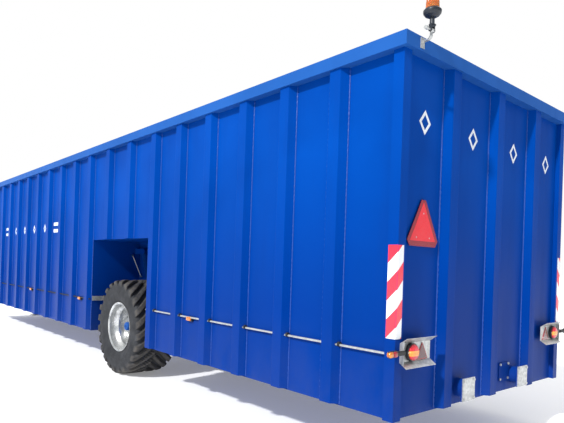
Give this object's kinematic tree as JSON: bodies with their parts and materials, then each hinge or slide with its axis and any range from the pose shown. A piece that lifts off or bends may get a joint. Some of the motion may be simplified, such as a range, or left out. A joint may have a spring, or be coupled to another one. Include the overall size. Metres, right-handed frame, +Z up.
{
  "type": "towed buffer container with lowerable axle",
  "caption": "Long open-top ribbed steel container on a lowerable swing axle, with drawbar, parking leg, rear lights, capped outlets and a folding warning beacon.",
  "frame": {"origin": "on the ground, under the middle of the whole outline", "axes": "+X to the rear, +Y to the right-hand side, +Z up"},
  "size_m": [14.754, 3.284, 3.704],
  "materials": {
    "body_blue": "glossy blue enamel over folded and welded steel",
    "rim_blue": "glossy blue enamel",
    "axle_blue": "glossy blue enamel, road dust",
    "hub_blue": "blue enamel",
    "silver_rim": "silver enamel",
    "galvanised": "hot-dip galvanised, mottled",
    "tyre": "black tyre rubber, brownish dust on the lugs",
    "rubber": "black rubber",
    "black_plastic": "black moulded plastic",
    "amber_lens": "clear amber moulding",
    "red_lens": "clear red moulding",
    "hazard_film": "red and white diagonal reflective film",
    "sign_red": "red fluorescent panel with a darker reflective border",
    "machined_steel": "turned steel",
    "chrome_rod": "hard chrome",
    "mirror": "polished reflector"
  },
  "bodies": {
    "container": {"floor_rear": "body_blue", "floor_middle": "body_blue", "floor_front": "body_blue", "rear_wall": "body_blue", "front_wall": "body_blue", "side_wall_left_rear": "body_blue", "side_wall_left_arch": "body_blue", "side_wall_left_front": "body_blue", "side_wall_right_rear": "body_blue", "side_wall_right_arch": "body_blue", "side_wall_right_front": "body_blue", "corner_post_rear_left": "body_blue", "corner_post_rear_right": "body_blue", "corner_post_front_left": "body_blue", "corner_post_front_right": "body_blue", "wheel_well_left": "body_blue", "wheel_well_right": "body_blue", "cross_tie_rear": "body_blue", "cross_tie_middle": "body_blue", "cross_tie_front": "body_blue", "pivot_sleeve": "body_blue", "outlet_pipes": "body_blue", "sump_cover": "body_blue", "leg_sleeve": "body_blue", "rim_rail": "rim_blue", "outlet_covers": "galvanised", "cover_bolts": "galvanised", "light_boxes": "galvanised", "tail_lamps": "red_lens", "tail_reflectors": "red_lens", "marker_arms": "rubber", "marker_lamps": "amber_lens", "warning_triangle": "sign_red", "hazard_strips": "hazard_film", "conduits": "galvanised", "cable_tubes": "rubber", "side_lamps": "amber_lens", "cable_channels": "galvanised", "hydraulic_lines": "machined_steel", "beacon_bracket": "galvanised"},
    "swing_axle": {"torque_shaft": "machined_steel", "swing_arm_left": "axle_blue", "swing_arm_right": "axle_blue", "wheel_bearings": "machined_steel"},
    "wheel_left": {"tyre_left": "tyre", "wheel_rim_left": "silver_rim", "wheel_hub_left": "hub_blue"},
    "wheel_right": {"tyre_right": "tyre", "wheel_rim_right": "silver_rim", "wheel_hub_right": "hub_blue"},
    "lift_barrel_left": {"lift_barrel_left": "axle_blue"},
    "lift_barrel_right": {"lift_barrel_right": "axle_blue"},
    "lift_rod_left": {"lift_rod_left": "chrome_rod"},
    "lift_rod_right": {"lift_rod_right": "chrome_rod"},
    "drawbar": {"drawbar": "body_blue", "hitch_eye": "machined_steel"},
    "parking_leg": {"parking_leg": "galvanised"},
    "beacon": {"beacon_body": "black_plastic", "beacon_lens": "amber_lens"},
    "beacon_mirror": {"beacon_mirror": "mirror"}
  },
  "joints": [
    {"name": "axle_lift", "type": "hinge", "parent": "container", "child": "swing_axle", "pos_m": [1.787, 0, 0.945], "axis": [0, -1, 0], "range_deg": [0, 47.92]},
    {"name": "wheel_spin_left", "type": "hinge", "parent": "swing_axle", "child": "wheel_left", "pos_m": [2.372, -1.14, 0.685], "axis": [0, 1, 0], "continuous": true},
    {"name": "lift_lean_left", "type": "hinge", "parent": "container", "child": "lift_barrel_left", "pos_m": [1.7135, -0.7, 1.812], "axis": [0, -1, 0], "range_deg": [-0.9829, 0]},
    {"name": "lift_stroke_left", "type": "slide", "parent": "lift_barrel_left", "child": "lift_rod_left", "axis": [-0.3609, 0, 0.9326], "range_m": [0, 0.20258]},
    {"name": "wheel_spin_right", "type": "hinge", "parent": "swing_axle", "child": "wheel_right", "pos_m": [2.372, 1.14, 0.685], "axis": [0, 1, 0], "continuous": true},
    {"name": "lift_lean_right", "type": "hinge", "parent": "container", "child": "lift_barrel_right", "pos_m": [1.7135, 0.7, 1.812], "axis": [0, -1, 0], "range_deg": [-0.9829, 0]},
    {"name": "lift_stroke_right", "type": "slide", "parent": "lift_barrel_right", "child": "lift_rod_right", "axis": [-0.3609, 0, 0.9326], "range_m": [0, 0.20258]},
    {"name": "drawbar_pivot", "type": "hinge", "parent": "container", "child": "drawbar", "pos_m": [-5.9645, 0, 0.58], "axis": [0, 1, 0], "range_deg": [-8, 20]},
    {"name": "leg_stroke", "type": "slide", "parent": "container", "child": "parking_leg", "axis": [0, 0, 1], "range_m": [0, 0.55]},
    {"name": "beacon_fold", "type": "hinge", "parent": "container", "child": "beacon", "pos_m": [7.3105, -1.345, 3.44], "axis": [0, 1, 0], "range_deg": [0, 90]},
    {"name": "beacon_turn", "type": "hinge", "parent": "beacon", "child": "beacon_mirror", "pos_m": [7.3105, -1.345, 3.5865], "axis": [0, 0, 1], "continuous": true}
  ],
  "couplings": [
    {"joint": "lift_lean_left", "follows": "axle_lift", "ratio": -0.02051},
    {"joint": "lift_stroke_left", "follows": "axle_lift", "m_per_rad": 0.24219},
    {"joint": "lift_lean_right", "follows": "axle_lift", "ratio": -0.02051},
    {"joint": "lift_stroke_right", "follows": "axle_lift", "m_per_rad": 0.24219}
  ]
}
